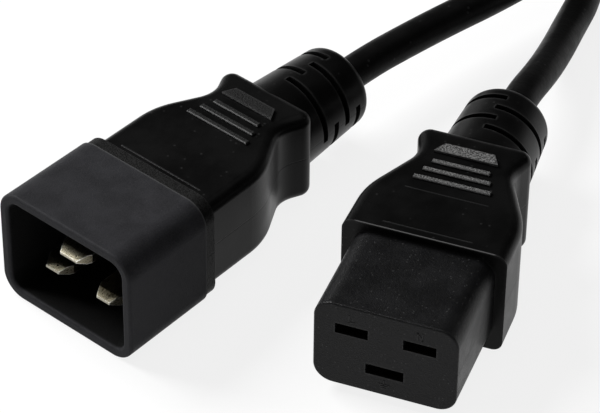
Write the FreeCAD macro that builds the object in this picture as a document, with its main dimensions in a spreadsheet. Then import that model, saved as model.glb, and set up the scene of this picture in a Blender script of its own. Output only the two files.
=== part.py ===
# C19 to C20 power cord: a C19 connector (the main piece), its cord, and the C20 plug at the far end.
#
# Frame: +Z up, the table at z = 0, +X to the right, the C19 mating face looks along -Y and its cord
# leaves along +Y. The origin is under the middle of the C19 connector. Lengths are millimetres.
#
# Each connector is drawn in its own frame: the axis of the connector is the Y axis, the middle of
# its mating face is the origin, and the cord leaves along +Y. A Placement then sets it on the table.

import FreeCAD
import Part
import Sketcher
import math
import os
import re
from FreeCAD import Placement, Rotation, Vector

doc = FreeCAD.newDocument("PowerCord")

# ---------------------------------------------------------------------------------------------
# Driving dimensions
# ---------------------------------------------------------------------------------------------

DIMENSIONS = [
    # Pins and slots shared by the two ends
    ("pin_pitch", 13.0, "line to neutral, middle to middle"),
    ("pin_row", 4.0, "axis of the connector to each row of pins"),
    ("line_pin_width", 6.0, "width of the line and neutral pins"),
    ("earth_pin_width", 7.0, "width of the earth pin"),
    ("pin_thick", 2.0, "thickness of every pin"),
    ("slot_clearance", 0.3, "how much wider and higher a slot is than its pin"),
    ("fit_gap", 0.05, "clearance between pieces moulded or pressed together"),
    # Outlines that both overmoulds share
    ("neck_back", 7.8, "neck to the back of the wings"),
    ("wing_width", 24.4, "width across the finger wings before they are rounded"),
    ("shoulder_round", 16.0, "radius of the shoulder in plan"),
    ("neck_round", 6.0, "radius of the neck in plan"),
    ("wing_round", 2.4, "radius of a wing tip in plan"),
    ("edge_round", 2.2, "rounding of the long edges of the body"),
    # Boot
    ("boot_front", 19.8, "boot diameter at the wings"),
    ("boot_rear", 17.0, "boot diameter at its end"),
    ("boot_round", 2.2, "rounding of the boot's end"),
    ("flex_first", 4.1, "end of the boot to the middle of the last flex slot"),
    ("flex_pitch", 3.5, "one flex slot to the next along the boot"),
    ("flex_width", 1.4, "width of a flex slot"),
    ("flex_floor", 10.6, "diameter left inside the flex slots"),
    ("flex_reach", 98.0, "degrees a flex slot runs from the vertical plane"),
    ("flex_overlap", 4.0, "degrees it runs past that plane"),
    # Grip
    ("rib_first", 10.5, "back of the wings to the middle of the last rib"),
    ("rib_pitch", 2.7, "one rib to the next"),
    ("rib_length", 11.4, "length of the rib nearest the cord"),
    ("rib_growth", 1.9, "how much longer each rib is than the one behind it"),
    ("rib_width", 1.1, "width of a rib"),
    ("rib_height", 0.5, "height of a rib over the body"),
    ("grip_back", 5.1, "back of the wings to the back of the grip plate"),
    ("grip_front_length", 12.6, "front edge of the grip plate"),
    ("grip_back_length", 9.8, "back edge of the grip plate"),
    ("grip_width", 2.7, "grip plate, front to back"),
    ("grip_height", 0.6, "height of the grip plate over the body"),
    # Cord
    ("cord_diameter", 7.0, "three 1.5 square millimetre cores in one jacket"),
    ("core_diameter", 2.5, "one insulated core"),
    ("core_web", 0.15, "jacket left between two cores"),
    ("conductor_diameter", 1.5, "one stranded copper conductor"),
    ("wire_bend", 2.5, "how far a core's bend reaches along each of its two runs"),
    ("barrel_diameter", 3.4, "closed crimp barrel"),
    ("barrel_length", 9.0, "crimp barrel"),
    # C19 connector
    ("nose_width", 27.6, "contact carrier, side to side"),
    ("nose_height", 19.3, "contact carrier, top to bottom"),
    ("nose_round", 3.8, "corner radius of the carrier"),
    ("nose_length", 20.8, "mating face to the front of the overmould"),
    ("nose_edge", 0.4, "rounding of the mating face"),
    ("carrier_tail", 6.0, "carrier inside the overmould"),
    ("face_thick", 2.4, "wall in front of the contacts"),
    ("chamber_height", 6.0, "contact chamber, top to bottom"),
    ("chamber_side", 0.8, "chamber past the contact on each side"),
    ("cover_thick", 2.0, "carrier cover"),
    ("contact_thick", 0.5, "brass strip of a contact"),
    ("contact_side", 0.4, "how much narrower than its pin's slot a contact is"),
    ("contact_mouth", 3.6, "opening of the leaves at the front"),
    ("contact_pinch", 1.9, "opening of the leaves where they hold the pin"),
    ("contact_rear", 4.4, "opening of the leaves at the back"),
    ("contact_start", 0.6, "behind the face wall to the tip of the leaves"),
    ("pinch_depth", 3.0, "tip of the leaves to the pinch"),
    ("knee_depth", 11.5, "tip of the leaves to where they run parallel"),
    ("contact_length", 18.0, "tip of the leaves to the crimp barrel"),
    ("c19_width", 32.0, "body, side to side"),
    ("c19_height", 22.9, "body, top to bottom"),
    ("c19_length", 31.9, "front of the body to the back of the wings"),
    ("c19_shoulder", 11.2, "front of the body to the shoulder"),
    ("c19_neck", 18.8, "width where the flanks of the body and the wings would cross"),
    ("c19_boot", 20.3, "back of the wings to the end of the boot"),
    ("c19_draft", 0.2, "how far each side leans in by the shoulder"),
    ("c19_mould_width", 23.0, "inner mould at its front"),
    ("c19_mould_length", 17.0, "inner mould"),
    # C20 plug
    ("shroud_width", 33.1, "cup, side to side"),
    ("shroud_height", 25.0, "cup, top to bottom"),
    ("shroud_round", 4.9, "corner radius of the cup"),
    ("shroud_wall", 2.1, "wall of the cup at its rim"),
    ("shroud_draft", 0.2, "how far each side of the cup leans in from its rim to its back"),
    ("shroud_length", 21.0, "rim to the back of the cup"),
    ("shroud_edge", 0.6, "rounding of the rim"),
    ("recess_depth", 19.0, "rim to the floor of the cup"),
    ("insert_tail", 6.0, "back of the cup to the end of the insert inside the overmould"),
    ("insert_width", 25.0, "that insert, side to side"),
    ("insert_height", 16.0, "that insert, top to bottom"),
    ("earth_tip", 1.2, "rim to the tip of the earth pin"),
    ("line_tip", 3.2, "rim to the tips of the line and neutral pins"),
    ("tip_taper", 1.4, "how far each side of a pin leans in at its tip"),
    ("tip_length", 2.7, "length of that taper"),
    ("tip_edge", 0.5, "thickness of a pin's very tip"),
    ("tip_slope", 1.8, "length over which a pin thins to that"),
    ("band_inset", 0.4, "how far the overmould's front band lies inside the cup's outline"),
    ("band_length", 2.7, "that band, front to back"),
    ("c20_width", 29.4, "body, side to side"),
    ("c20_height", 20.0, "body, top to bottom"),
    ("c20_length", 37.2, "front of the band to the back of the wings"),
    ("c20_shoulder", 18.5, "front of the band to the shoulder"),
    ("c20_neck", 17.2, "width where the flanks of the body and the wings would cross"),
    ("c20_boot", 19.5, "back of the wings to the end of the boot"),
    ("c20_draft", 0.2, "how far each side leans in by the shoulder"),
    ("c20_mould_width", 21.0, "inner mould at its front"),
    ("c20_mould_length", 22.0, "inner mould"),
    ("mould_height", 14.0, "both inner moulds, top to bottom"),
    ("mould_rear", 9.6, "both inner moulds, width at the back"),
    # Where the plug lies
    ("plug_across", -61.9, "middle of the C20 rim, along X"),
    ("plug_along", -2.0, "middle of the C20 rim behind the C19 mating face, along Y"),
    ("plug_turn", -20.4, "degrees the plug is turned about Z"),
    # Coil of the length between the two leads
    ("exit_run", 8.0, "how far a lead runs straight out of its boot"),
    ("coil_run", 13.6, "straight run of a lead onto the coil"),
    ("coil_across", -26.0, "middle of the coil, along X"),
    ("coil_along", 209.0, "middle of the coil behind the C19 mating face"),
    ("coil_radius", 40.0, "middle of the turns"),
    ("coil_entry", 256.0, "degrees round the coil where the C19 lead joins it, on the table"),
    ("coil_exit", -15.0, "degrees round the coil where the C20 lead leaves it, on top"),
    ("coil_width", 22.2, "bundle, side to side"),
    ("coil_height", 14.2, "bundle, top to bottom"),
    ("coil_bevel", 2.6, "bevel of the bundle's section"),
    ("tie_width", 12.0, "hook and loop tie along the cord"),
    ("tie_thick", 1.0, "thickness of the tie"),
    ("tie_round", 4.5, "rounding of the tie's section"),
]

sheet = doc.addObject("Spreadsheet::Sheet", "Sizes")
for row, (alias, number, note) in enumerate(DIMENSIONS, start=1):
    sheet.set(f"A{row}", alias)
    sheet.set(f"B{row}", str(number))
    sheet.set(f"C{row}", note)
    sheet.setAlias(f"B{row}", alias)
doc.recompute()

ALIASES = [alias for alias, _, _ in DIMENSIONS]


def size(alias):
    """The number that the sheet holds under this alias."""
    return float(sheet.get(alias))


def link(text):
    """An expression in which every alias points at the sheet."""
    return re.sub(r"[a-z][a-z0-9]*_[a-z_]+", lambda m: "Sizes." + m.group(0)
                  if m.group(0) in ALIASES else m.group(0), text)


# ---------------------------------------------------------------------------------------------
# Drawing helpers
# ---------------------------------------------------------------------------------------------

def new_body(label):
    body = doc.addObject("PartDesign::Body", label)
    body.Label = label
    return body


def new_sketch(body, plane, name, lift=None):
    """A sketch on one of the body's own origin planes, lifted along its normal."""
    drawing = body.newObject("Sketcher::SketchObject", name)
    base = [item for item in body.Origin.OriginFeatures if item.Role == plane][0]
    drawing.AttachmentSupport = [(base, "")]
    drawing.MapMode = "FlatFace"
    if lift:
        drawing.setExpression("AttachmentOffset.Base.z", link(lift))
    return drawing


def hold(drawing, kind, geometry, point, start, text):
    """Tie one coordinate of a point to an expression."""
    number = drawing.addConstraint(Sketcher.Constraint(kind, -1, 1, geometry, point, start))
    drawing.setExpression(f"Constraints[{number}]", link(text))


def draw_polygon(drawing, corners):
    """A closed outline whose corners are pairs of expressions."""
    first = drawing.GeometryCount
    count = len(corners)
    spots = [Vector(10 * math.cos(2 * math.pi * i / count), 10 * math.sin(2 * math.pi * i / count), 0)
             for i in range(count)]
    for i in range(count):
        drawing.addGeometry(Part.LineSegment(spots[i], spots[(i + 1) % count]), False)
    for i in range(count):
        after = first + (i + 1) % count
        drawing.addConstraint(Sketcher.Constraint("Coincident", first + i, 2, after, 1))
    for i, (across, up) in enumerate(corners):
        hold(drawing, "DistanceX", first + i, 1, spots[i].x, across)
        hold(drawing, "DistanceY", first + i, 1, spots[i].y, up)


def draw_rectangle(drawing, left, right, low, high):
    draw_polygon(drawing, [(left, low), (right, low), (right, high), (left, high)])


def draw_circle(drawing, diameter, across="0", up="0"):
    circle = drawing.addGeometry(Part.Circle(Vector(0, 0, 0), Vector(0, 0, 1), 1.0), False)
    number = drawing.addConstraint(Sketcher.Constraint("Diameter", circle, 2.0))
    drawing.setExpression(f"Constraints[{number}]", link(diameter))
    hold(drawing, "DistanceX", circle, 3, 0.0, across)
    hold(drawing, "DistanceY", circle, 3, 0.0, up)


def draw_rounded(drawing, width, height, radius, middle="0", rise="0"):
    """A rectangle about a middle point, with a quarter circle at each corner."""
    first = drawing.GeometryCount
    reach, curve = 8.0, 3.0
    signs = [(1, 1), (-1, 1), (-1, -1), (1, -1)]
    for i, (sx, sy) in enumerate(signs):
        ring = Part.Circle(Vector(sx * reach, sy * reach, 0), Vector(0, 0, 1), curve)
        turn = i * math.pi / 2
        drawing.addGeometry(Part.ArcOfCircle(ring, turn, turn + math.pi / 2), False)
    for i in range(4):
        here, there = drawing.Geometry[first + i], drawing.Geometry[first + (i + 1) % 4]
        drawing.addGeometry(Part.LineSegment(here.EndPoint, there.StartPoint), False)
    for i in range(4):
        drawing.addConstraint(Sketcher.Constraint("Tangent", first + i, 2, first + 4 + i, 1))
        drawing.addConstraint(Sketcher.Constraint("Tangent", first + 4 + i, 2, first + (i + 1) % 4, 1))
    for i, (sx, sy) in enumerate(signs):
        across = f"({middle}) + {sx} * (({width}) / 2 - ({radius}))"
        up = f"({rise}) + {sy} * (({height}) / 2 - ({radius}))"
        hold(drawing, "DistanceX", first + i, 3, sx * reach, across)
        hold(drawing, "DistanceY", first + i, 3, sy * reach, up)
    number = drawing.addConstraint(Sketcher.Constraint("Radius", first, curve))
    drawing.setExpression(f"Constraints[{number}]", link(radius))
    for i in (1, 2, 3):
        drawing.addConstraint(Sketcher.Constraint("Equal", first, first + i))


def pad(body, drawing, name, length, both=False, reverse=False):
    feature = body.newObject("PartDesign::Pad", name)
    feature.Profile = drawing
    feature.setExpression("Length", link(length))
    feature.Midplane = both
    feature.Reversed = reverse
    return feature


def pocket(body, drawing, name, length, both=False, reverse=False):
    before = body.Shape.Volume
    feature = body.newObject("PartDesign::Pocket", name)
    feature.Profile = drawing
    feature.setExpression("Length", link(length))
    feature.Midplane = both
    feature.Reversed = reverse
    doc.recompute()
    if body.Shape.Volume >= before:
        raise RuntimeError(f"{body.Label}: {name} cuts nothing")
    return feature


def fillet(body, base, name, radius, wanted):
    """Round the edges of the last feature that the test picks."""
    doc.recompute()
    picked = [f"Edge{i}" for i, edge in enumerate(base.Shape.Edges, start=1) if wanted(edge)]
    if not picked:
        raise RuntimeError(f"{body.Label}: {name} finds no edge")
    feature = body.newObject("PartDesign::Fillet", name)
    feature.Base = (base, picked)
    feature.setExpression("Radius", link(radius))
    doc.recompute()
    return feature


def runs_along_z(edge):
    box = edge.BoundBox
    return box.ZLength > 1 and box.XLength < 0.01 and box.YLength < 0.01


def near(edge, across, along):
    middle = edge.CenterOfMass
    return abs(abs(middle.x) - across) < 0.05 and abs(middle.y - along) < 0.05


def rounded_path(points, bend=None):
    """Straight runs joined by tangent arcs, each as large as its two runs allow, or of a given reach."""
    edges, radii = [], []
    start = points[0]
    for i in range(1, len(points) - 1):
        before, here, after = points[i - 1], points[i], points[i + 1]
        back, ahead = (before - here), (after - here)
        reach = bend or 0.45 * min(back.Length, ahead.Length)
        back.normalize()
        ahead.normalize()
        half_turn = (math.pi - back.getAngle(ahead)) / 2
        radii.append(reach / math.tan(half_turn))
        enter, leave = here + back * reach, here + ahead * reach
        inward = back + ahead
        inward.normalize()
        radius = radii[-1]
        centre = here + inward * (radius / math.cos(half_turn))
        edges.append(Part.LineSegment(start, enter).toShape())
        edges.append(Part.Arc(enter, centre - inward * radius, leave).toShape())
        start = leave
    edges.append(Part.LineSegment(start, points[-1]).toShape())
    return Part.Wire(edges), radii


def tube(points, diameter, bend=None):
    """A solid round tube along a rounded path."""
    path, radii = rounded_path(points, bend)
    heading = (points[1] - points[0]).normalize()
    ring = Part.Wire([Part.Circle(points[0], heading, diameter / 2).toShape()])
    solid = path.makePipeShell([ring], True, False)
    expected = math.pi * diameter ** 2 / 4 * path.Length
    if abs(solid.Volume / expected - 1) > 0.01:
        raise RuntimeError("a tube's volume is not its section times its length")
    return solid, path.Length, min(radii)


def feature_from(label, shape, placement):
    feature = doc.addObject("Part::Feature", label)
    feature.Label = label
    feature.Shape = shape
    feature.Placement = placement
    return feature


# ---------------------------------------------------------------------------------------------
# Places that follow from the sizes
# ---------------------------------------------------------------------------------------------

C19_TOTAL = size("nose_length") + size("c19_length") + size("c19_boot")
C20_TOTAL = size("shroud_length") + size("c20_length") + size("c20_boot")

C19_PLACE = Placement(Vector(0, -C19_TOTAL / 2, size("c19_height") / 2), Rotation())
C20_PLACE = Placement(Vector(size("plug_across"), size("plug_along") - C19_TOTAL / 2,
                             size("shroud_height") / 2),
                      Rotation(Vector(0, 0, 1), size("plug_turn")))

# Each end: where it stands, which way up, where its front parts end, and what its wires meet.
# upright is +1 where line and neutral are the upper row, -1 where earth is.
ENDS = {
    "c19": dict(place=C19_PLACE, upright=1, total=C19_TOTAL,
                front="nose_length",
                barrel="face_thick + contact_start + contact_length",
                mould="nose_length + carrier_tail + cover_thick"),
    "c20": dict(place=C20_PLACE, upright=-1, total=C20_TOTAL,
                front="shroud_length",
                barrel="shroud_length + insert_tail - 2",
                mould="shroud_length + insert_tail"),
}
POLES = {"line": (-1, 1), "neutral": (1, 1), "earth": (0, -1)}


def total_of(text):
    """Add up the aliases and plain numbers of a place written as an expression."""
    signed = text.replace("- ", "+ -").split("+")
    words = [word.strip() for word in signed]
    return sum(size(word) if word in ALIASES else float(word) for word in words)


def pole_spot(end, pole):
    """Middle of a pin or slot, across and up from the connector's axis."""
    across, row = POLES[pole]
    return across * size("pin_pitch") / 2, ENDS[end]["upright"] * row * size("pin_row")


def pole_place(end, pole):
    across, up = pole_spot(end, pole)
    return ENDS[end]["place"].multiply(Placement(Vector(across, 0, up), Rotation()))


def slot_width(pole):
    pin = "earth_pin_width" if pole == "earth" else "line_pin_width"
    return f"{pin} + slot_clearance"


# ---------------------------------------------------------------------------------------------
# Overmould: body, finger wings, grip and slotted boot in one moulding
# ---------------------------------------------------------------------------------------------

def body_outline(end):
    """Plan of the body from its front to the back of the wings."""
    front = ENDS[end]["front"]
    back = f"{front} + {end}_length"
    side = [(f"{end}_width / 2", front),
            (f"{end}_width / 2 - {end}_draft", f"{front} + {end}_shoulder"),
            (f"{end}_neck / 2", f"{back} - neck_back"),
            ("wing_width / 2", back)]
    return side + [(f"-({across})", along) for across, along in reversed(side)]


def overmould(end):
    front = total_of(ENDS[end]["front"])
    back = front + size(f"{end}_length")
    body = new_body(f"{end}_overmould")

    plan = new_sketch(body, "XY_Plane", "Plan")
    draw_polygon(plan, body_outline(end))
    block = pad(body, plan, "Block", f"{end}_height", both=True)

    shoulder = (size(f"{end}_width") / 2 - size(f"{end}_draft"), front + size(f"{end}_shoulder"))
    neck = (size(f"{end}_neck") / 2, back - size("neck_back"))
    wing = (size("wing_width") / 2, back)
    last = fillet(body, block, "Shoulder", "shoulder_round",
                  lambda edge: runs_along_z(edge) and near(edge, *shoulder))
    last = fillet(body, last, "Neck", "neck_round",
                  lambda edge: runs_along_z(edge) and near(edge, *neck))
    last = fillet(body, last, "WingTip", "wing_round",
                  lambda edge: runs_along_z(edge) and near(edge, *wing))

    half = size(f"{end}_height") / 2

    def is_rim(edge):
        box = edge.BoundBox
        level = box.ZLength < 0.01 and abs(abs(edge.CenterOfMass.z) - half) < 0.01
        return level and box.YMax > front + 0.01

    last = fillet(body, last, "LongEdges", "edge_round", is_rim)

    if end == "c20":
        band = new_sketch(body, "XZ_Plane", "Band", f"-({ENDS[end]['front']})")
        inset = "(shroud_draft + band_inset)"
        draw_rounded(band, f"shroud_width - 2 * {inset}", f"shroud_height - 2 * {inset}",
                     f"shroud_round - {inset}")
        pad(body, band, "FrontBand", "band_length", reverse=True)

    half_boot = new_sketch(body, "YZ_Plane", "BootSection")
    back_text = f"{ENDS[end]['front']} + {end}_length"
    root = f"{back_text} - wing_round"
    tip = f"{back_text} + {end}_boot"
    draw_polygon(half_boot, [(root, "0"), (tip, "0"), (tip, "boot_rear / 2"),
                             (root, "boot_front / 2")])
    boot = body.newObject("PartDesign::Revolution", "Boot")
    boot.Profile = half_boot
    boot.ReferenceAxis = (half_boot, ["H_Axis"])
    boot.Angle = 360
    end_of_boot = back + size(f"{end}_boot")
    rear = size("boot_rear") / 2
    fillet(body, boot, "BootEnd", "boot_round",
           lambda edge: edge.Closed and abs(edge.BoundBox.YMin - end_of_boot) < 0.01
           and edge.BoundBox.XLength > rear)

    # Flex slots: two sets, each cut above and below at once, half a turn apart
    for name, slots, flip in (("FlexLeft", (0, 2), True), ("FlexRight", (1, 3), False)):
        drawing = new_sketch(body, "YZ_Plane", name + "Section")
        for number in slots:
            middle = f"{tip} - flex_first - {number} * flex_pitch"
            for side in ("", "-"):
                draw_rectangle(drawing, f"{middle} - flex_width / 2", f"{middle} + flex_width / 2",
                               f"{side}flex_floor / 2", f"{side}(boot_front / 2 + 1)")
        before = body.Shape.Volume
        groove = body.newObject("PartDesign::Groove", name)
        groove.Profile = drawing
        groove.ReferenceAxis = (drawing, ["H_Axis"])
        groove.Type = "TwoAngles"
        groove.Reversed = flip
        groove.setExpression("Angle", link("flex_reach"))
        groove.setExpression("Angle2", link("flex_overlap"))
        doc.recompute()
        if body.Shape.Volume >= before:
            raise RuntimeError(f"{body.Label}: {name} cuts nothing")

    # Grip: three ribs that grow toward the front, and the plate behind them
    top = f"{end}_height / 2"
    ribs = new_sketch(body, "XY_Plane", "Ribs", f"{top} - 0.5")
    for number in range(3):
        middle = f"{back_text} - rib_first - {number} * rib_pitch"
        reach = f"(rib_length + {number} * rib_growth) / 2"
        draw_rectangle(ribs, f"-{reach}", reach, f"{middle} - rib_width / 2",
                       f"{middle} + rib_width / 2")
    pad(body, ribs, "GripRibs", "rib_height + 0.5")
    plate = new_sketch(body, "XY_Plane", "Plate", f"{top} - 0.5")
    rear_line, front_line = f"{back_text} - grip_back", f"{back_text} - grip_back - grip_width"
    draw_polygon(plate, [("-grip_front_length / 2", front_line), ("grip_front_length / 2", front_line),
                         ("grip_back_length / 2", rear_line), ("-grip_back_length / 2", rear_line)])
    grip = pad(body, plate, "GripPlate", "grip_height + 0.5")
    ridge = size(f"{end}_height") / 2 + size("rib_height")
    fillet(body, grip, "RibEnds", "rib_height / 2",
           lambda edge: edge.BoundBox.ZLength < 0.01 and abs(edge.BoundBox.ZMin - ridge) < 0.01)

    # Seats for what the moulding closes round
    seat = new_sketch(body, "XZ_Plane", "FrontSeat", f"-({ENDS[end]['front']})")
    if end == "c19":
        draw_rounded(seat, "nose_width + 2 * fit_gap", "nose_height + 2 * fit_gap",
                     "nose_round + fit_gap")
        pocket(body, seat, "CarrierSeat", "carrier_tail + cover_thick + fit_gap")
    else:
        draw_rectangle(seat, "-(insert_width / 2 + fit_gap)", "insert_width / 2 + fit_gap",
                       "-(insert_height / 2 + fit_gap)", "insert_height / 2 + fit_gap")
        pocket(body, seat, "InsertSeat", "insert_tail + fit_gap")
    hollow = new_sketch(body, "XY_Plane", "MouldSeatPlan")
    draw_polygon(hollow, mould_outline(end, "fit_gap"))
    pocket(body, hollow, "MouldSeat", "mould_height + 2 * fit_gap", both=True)
    bore = new_sketch(body, "XZ_Plane", "CordBore", f"-({ENDS[end]['mould']})")
    draw_circle(bore, "cord_diameter + 2 * fit_gap")
    pocket(body, bore, "CordHole", f"{end}_length + {end}_boot")
    body.Placement = ENDS[end]["place"]
    return body


# ---------------------------------------------------------------------------------------------
# Wires, crimps and the inner mould round them
# ---------------------------------------------------------------------------------------------

def mould_outline(end, gap="0"):
    """Plan of the inner mould: straight over the crimps, then narrowing to the cord."""
    start, length = ENDS[end]["mould"], f"{end}_mould_length"
    wide = f"{end}_mould_width / 2 + {gap}"
    slim = f"mould_rear / 2 + {gap}"
    side = [(wide, start), (wide, f"{start} + {length} / 3"), (slim, f"{start} + {length} + {gap}")]
    return side + [(f"-({across})", along) for across, along in reversed(side)]


def wire_points(end, pole, begin):
    """Route of one core: straight out of its crimp, then in to its place in the cord."""
    across, up = pole_spot(end, pole)
    apart = size("core_diameter") + 2 * size("fit_gap") + size("core_web")
    side, row = POLES[pole]
    lift = apart / math.sqrt(3) if pole == "earth" else apart / math.sqrt(12)
    packed = Vector(side * apart / 2, 0, ENDS[end]["upright"] * row * lift)
    start = total_of(ENDS[end]["barrel"]) + size("barrel_length")
    finish = total_of(ENDS[end]["mould"]) + size(f"{end}_mould_length")
    bend = size("wire_bend")
    return [Vector(across, begin, up),
            Vector(across, start + bend + 2 * size("fit_gap"), up),
            Vector(packed.x, finish - bend, packed.z),
            Vector(packed.x, ENDS[end]["total"], packed.z)]


def wires(end):
    """The three insulated cores and their conductors."""
    made = []
    barrel = total_of(ENDS[end]["barrel"])
    stripped = barrel + size("barrel_length") + size("fit_gap")
    bore = size("conductor_diameter") + 2 * size("fit_gap")
    bend = size("wire_bend")
    for pole in POLES:
        outer, _, _ = tube(wire_points(end, pole, stripped), size("core_diameter"), bend)
        inner, _, _ = tube(wire_points(end, pole, stripped), bore, bend)
        copper, _, _ = tube(wire_points(end, pole, barrel + size("fit_gap")),
                            size("conductor_diameter"), bend)
        place = ENDS[end]["place"]
        made.append(feature_from(f"{end}_{pole}_core", outer.cut(inner), place))
        made.append(feature_from(f"{end}_{pole}_conductor", copper, place))
    return made


def inner_mould(end):
    """The first moulding, which holds the crimps and cores apart."""
    block = doc.addObject("PartDesign::Body", f"{end}_mould_block")
    plan = new_sketch(block, "XY_Plane", "Plan")
    draw_polygon(plan, mould_outline(end))
    pad(block, plan, "Block", "mould_height", both=True)
    doc.recompute()
    shape = block.Shape.copy()
    barrel = total_of(ENDS[end]["barrel"])
    gap = 2 * size("fit_gap")
    for pole in POLES:
        across, up = pole_spot(end, pole)
        length = size("barrel_length") + size("fit_gap")
        crimp = Part.makeCylinder((size("barrel_diameter") + gap) / 2, length,
                                  Vector(across, barrel, up), Vector(0, 1, 0))
        begin = barrel + length - 1
        core, _, _ = tube(wire_points(end, pole, begin), size("core_diameter") + gap,
                          size("wire_bend"))
        shape = shape.cut(crimp).cut(core)
    return feature_from(f"{end}_inner_mould", shape.removeSplitter(), ENDS[end]["place"])


def jacket_end(end):
    """The last stretch of the cord's jacket, held in the boot."""
    body = new_body(f"{end}_jacket_end")
    start = f"{ENDS[end]['mould']} + {end}_mould_length + 2 * fit_gap"
    section = new_sketch(body, "XZ_Plane", "Section", f"-({start})")
    draw_circle(section, "cord_diameter")
    hole = "core_diameter + 2 * fit_gap"
    apart = f"({hole} + core_web)"
    row = ENDS[end]["upright"]
    for side in (-1, 1):
        draw_circle(section, hole, f"{side} * {apart} / 2", f"{row} * {apart} / sqrt(12)")
    draw_circle(section, hole, "0", f"{-row} * {apart} / sqrt(3)")
    pad(body, section, "Jacket", f"{ENDS[end]['front']} + {end}_length + {end}_boot - ({start})",
        reverse=True)
    body.Placement = ENDS[end]["place"]
    return body


def add_barrel(body, start):
    """The closed crimp barrel behind a contact or pin."""
    section = new_sketch(body, "XZ_Plane", "BarrelSection", f"-({start})")
    draw_circle(section, "barrel_diameter")
    barrel = pad(body, section, "Barrel", "barrel_length", reverse=True)
    doc.recompute()
    hole = new_sketch(body, "XZ_Plane", "BarrelHole", f"-({start})")
    draw_circle(hole, "conductor_diameter + 2 * fit_gap")
    pocket(body, hole, "ConductorHole", "barrel_length")
    return barrel


# ---------------------------------------------------------------------------------------------
# C19 connector
# ---------------------------------------------------------------------------------------------

def contact_carrier():
    """The hard nose block: three slots in front, a chamber for a contact behind each."""
    body = new_body("c19_contact_carrier")
    section = new_sketch(body, "XZ_Plane", "NoseSection")
    draw_rounded(section, "nose_width", "nose_height", "nose_round")
    nose = pad(body, section, "Nose", "nose_length + carrier_tail", reverse=True)
    fillet(body, nose, "MatingEdge", "nose_edge", lambda edge: edge.BoundBox.YMax < 0.01)
    for pole in POLES:
        across = f"{POLES[pole][0]} * pin_pitch / 2"
        up = f"{POLES[pole][1]} * pin_row"
        wide = slot_width(pole)
        entry = new_sketch(body, "XZ_Plane", f"{pole}_entry")
        draw_rectangle(entry, f"{across} - ({wide}) / 2", f"{across} + ({wide}) / 2",
                       f"{up} - (pin_thick + slot_clearance) / 2",
                       f"{up} + (pin_thick + slot_clearance) / 2")
        pocket(body, entry, f"{pole}_slot", "face_thick + 1")
        room = new_sketch(body, "XZ_Plane", f"{pole}_room", "-face_thick")
        half = f"(({wide}) / 2 - contact_side + chamber_side)"
        draw_rectangle(room, f"{across} - {half}", f"{across} + {half}",
                       f"{up} - chamber_height / 2", f"{up} + chamber_height / 2")
        pocket(body, room, f"{pole}_chamber", "nose_length + carrier_tail")
    body.Placement = C19_PLACE
    return body


def carrier_cover():
    """The plate that closes the chambers, with a hole for each crimp barrel."""
    body = new_body("c19_carrier_cover")
    section = new_sketch(body, "XZ_Plane", "CoverSection", "-(nose_length + carrier_tail)")
    draw_rounded(section, "nose_width", "nose_height", "nose_round")
    for pole in POLES:
        draw_circle(section, "barrel_diameter + 2 * fit_gap", f"{POLES[pole][0]} * pin_pitch / 2",
                    f"{POLES[pole][1]} * pin_row")
    pad(body, section, "Cover", "cover_thick", reverse=True)
    body.Placement = C19_PLACE
    return body


def spring_contact(pole):
    """A brass strip folded into two leaves that pinch the pin, with its crimp barrel."""
    body = new_body(f"c19_{pole}_contact")
    tip = "face_thick + contact_start"
    line = [("0", "contact_mouth / 2"), ("pinch_depth", "contact_pinch / 2"),
            ("knee_depth", "contact_rear / 2")]
    outside = [(f"{tip} + {along}", f"{up} + contact_thick") for along, up in line]
    outside.append((f"{tip} + contact_length", "contact_rear / 2 + contact_thick"))
    inside = [(f"{tip} + {along}", up) for along, up in line]
    inside.append((f"{tip} + contact_length - contact_thick", "contact_rear / 2"))
    lower_outside = [(along, f"-({up})") for along, up in reversed(outside)]
    lower_inside = [(along, f"-({up})") for along, up in inside]
    strip = new_sketch(body, "YZ_Plane", "Strip")
    draw_polygon(strip, outside + lower_outside + lower_inside + inside[::-1])
    pad(body, strip, "Leaves", f"{slot_width(pole)} - 2 * contact_side", both=True)
    doc.recompute()
    add_barrel(body, f"{tip} + contact_length")
    body.Placement = pole_place("c19", pole)
    return body


# ---------------------------------------------------------------------------------------------
# C20 plug
# ---------------------------------------------------------------------------------------------

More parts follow.
